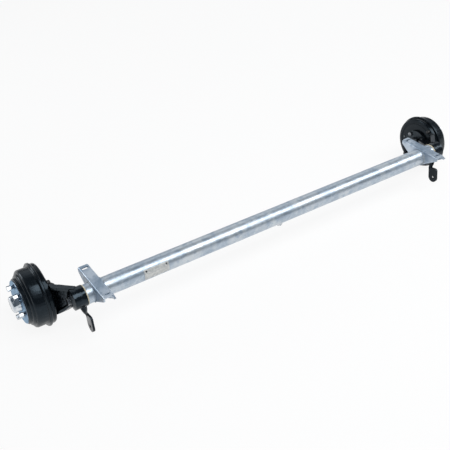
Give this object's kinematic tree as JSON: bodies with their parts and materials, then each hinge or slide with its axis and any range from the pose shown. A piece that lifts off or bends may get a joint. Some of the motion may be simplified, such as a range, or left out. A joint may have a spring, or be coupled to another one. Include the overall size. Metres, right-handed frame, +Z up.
{
  "type": "trailer axle",
  "caption": "Braked trailer axle: round galvanised tube with slotted seat brackets, trailing swing arms on torsion leaves, damper straps and drum-brake hubs with wheel bolts.",
  "frame": {"origin": "middle of the tube, on its axis", "axes": "+Y along the tube to the left wheel, +X forwards in the direction of travel, +Z up"},
  "size_m": [0.3788, 2.066, 0.2339],
  "materials": {
    "galvanised": "hot-dip galvanised, faint spangle, satin",
    "black_paint": "glossy black paint over castings and pressings",
    "drum_paint": "glossy black paint, bare machined hub face",
    "zinc": "bright zinc plating",
    "cap_steel": "bright plated sheet",
    "bush_plastic": "cream bearing plastic",
    "spring_steel": "dark oiled spring steel",
    "bearing_steel": "ground bearing steel",
    "raw_steel": "turned and bare steel",
    "lining": "moulded friction lining",
    "rubber": "black rubber",
    "plate_metal": "thin matt plate",
    "rivet": "dark drive rivets"
  },
  "bodies": {
    "axle": {"axle_tube": "galvanised", "anchor_block": "raw_steel", "anchor_screw": "zinc", "type_plate": "plate_metal", "plate_rivets": "rivet", "bracket_left": "galvanised", "bush_left": "bush_plastic", "torsion_leaves_left": "spring_steel", "bracket_right": "galvanised", "bush_right": "bush_plastic", "torsion_leaves_right": "spring_steel"},
    "arm_left": {"swing_arm_left": "black_paint", "retaining_bolt_left": "zinc", "damper_strap_left": "black_paint", "spindle_left": "raw_steel", "back_plate_left": "black_paint", "back_plate_bolts_left": "zinc", "inspection_plugs_left": "rubber", "cable_inlet_left": "black_paint", "shoe_springs_left": "spring_steel", "adjuster_left": "zinc", "hold_downs_left": "zinc", "bearing_cones_left": "bearing_steel", "axle_nut_left": "zinc"},
    "wheel_left": {"brake_drum_left": "drum_paint", "wheel_bolts_left": "zinc", "bearing_cups_left": "bearing_steel", "hub_seal_left": "rubber", "grease_cap_left": "cap_steel"},
    "rollers_left": {"bearing_rollers_left": "bearing_steel"},
    "front_shoe_left": {"shoe_front_left": "raw_steel", "lining_front_left": "lining"},
    "rear_shoe_left": {"shoe_rear_left": "raw_steel", "lining_rear_left": "lining"},
    "lever_left": {"brake_lever_left": "zinc"},
    "arm_right": {"swing_arm_right": "black_paint", "retaining_bolt_right": "zinc", "damper_strap_right": "black_paint", "spindle_right": "raw_steel", "back_plate_right": "black_paint", "back_plate_bolts_right": "zinc", "inspection_plugs_right": "rubber", "cable_inlet_right": "black_paint", "shoe_springs_right": "spring_steel", "adjuster_right": "zinc", "hold_downs_right": "zinc", "bearing_cones_right": "bearing_steel", "axle_nut_right": "zinc"},
    "wheel_right": {"brake_drum_right": "drum_paint", "wheel_bolts_right": "zinc", "bearing_cups_right": "bearing_steel", "hub_seal_right": "rubber", "grease_cap_right": "cap_steel"},
    "rollers_right": {"bearing_rollers_right": "bearing_steel"},
    "front_shoe_right": {"shoe_front_right": "raw_steel", "lining_front_right": "lining"},
    "rear_shoe_right": {"shoe_rear_right": "raw_steel", "lining_rear_right": "lining"},
    "lever_right": {"brake_lever_right": "zinc"}
  },
  "joints": [
    {"name": "arm_swing_left", "type": "hinge", "parent": "axle", "child": "arm_left", "pos_m": [0, 0.848, 0], "axis": [0, 1, 0], "range_deg": [-5, 40], "stiffness_Nm_per_rad": 2300, "deforming": ["torsion_leaves_left"]},
    {"name": "wheel_spin_left", "type": "hinge", "parent": "arm_left", "child": "wheel_left", "pos_m": [-0.14982, 0.97, -0.04695], "axis": [0, 1, 0], "continuous": true},
    {"name": "roller_spin_left", "type": "hinge", "parent": "arm_left", "child": "rollers_left", "pos_m": [-0.14982, 0.97, -0.04695], "axis": [0, 1, 0], "continuous": true},
    {"name": "brake_left", "type": "hinge", "parent": "arm_left", "child": "lever_left", "pos_m": [-0.14982, 0.93, -0.13095], "axis": [0, 1, 0], "range_deg": [0, 12], "stiffness_Nm_per_rad": 20, "deforming": ["shoe_springs_left"]},
    {"name": "front_shoe_pivot_left", "type": "hinge", "parent": "arm_left", "child": "front_shoe_left", "pos_m": [-0.12982, 0.946, 0.03305], "axis": [0, 1, 0], "range_deg": [-0.5, 0]},
    {"name": "rear_shoe_pivot_left", "type": "hinge", "parent": "arm_left", "child": "rear_shoe_left", "pos_m": [-0.16982, 0.946, 0.03305], "axis": [0, 1, 0], "range_deg": [0, 0.5]},
    {"name": "arm_swing_right", "type": "hinge", "parent": "axle", "child": "arm_right", "pos_m": [0, -0.848, 0], "axis": [0, 1, 0], "range_deg": [-5, 40], "stiffness_Nm_per_rad": 2300, "deforming": ["torsion_leaves_right"]},
    {"name": "wheel_spin_right", "type": "hinge", "parent": "arm_right", "child": "wheel_right", "pos_m": [-0.14982, -0.97, -0.04695], "axis": [0, 1, 0], "continuous": true},
    {"name": "roller_spin_right", "type": "hinge", "parent": "arm_right", "child": "rollers_right", "pos_m": [-0.14982, -0.97, -0.04695], "axis": [0, 1, 0], "continuous": true},
    {"name": "brake_right", "type": "hinge", "parent": "arm_right", "child": "lever_right", "pos_m": [-0.14982, -0.93, -0.13095], "axis": [0, 1, 0], "range_deg": [0, 12], "stiffness_Nm_per_rad": 20, "deforming": ["shoe_springs_right"]},
    {"name": "front_shoe_pivot_right", "type": "hinge", "parent": "arm_right", "child": "front_shoe_right", "pos_m": [-0.12982, -0.946, 0.03305], "axis": [0, 1, 0], "range_deg": [-0.5, 0]},
    {"name": "rear_shoe_pivot_right", "type": "hinge", "parent": "arm_right", "child": "rear_shoe_right", "pos_m": [-0.16982, -0.946, 0.03305], "axis": [0, 1, 0], "range_deg": [0, 0.5]}
  ],
  "couplings": [
    {"joint": "front_shoe_pivot_left", "follows": "brake_left", "ratio": -0.0375},
    {"joint": "rear_shoe_pivot_left", "follows": "brake_left", "ratio": 0.0375},
    {"joint": "roller_spin_left", "follows": "wheel_spin_left", "ratio": 0.604},
    {"joint": "front_shoe_pivot_right", "follows": "brake_right", "ratio": -0.0375},
    {"joint": "rear_shoe_pivot_right", "follows": "brake_right", "ratio": 0.0375},
    {"joint": "roller_spin_right", "follows": "wheel_spin_right", "ratio": 0.604}
  ]
}
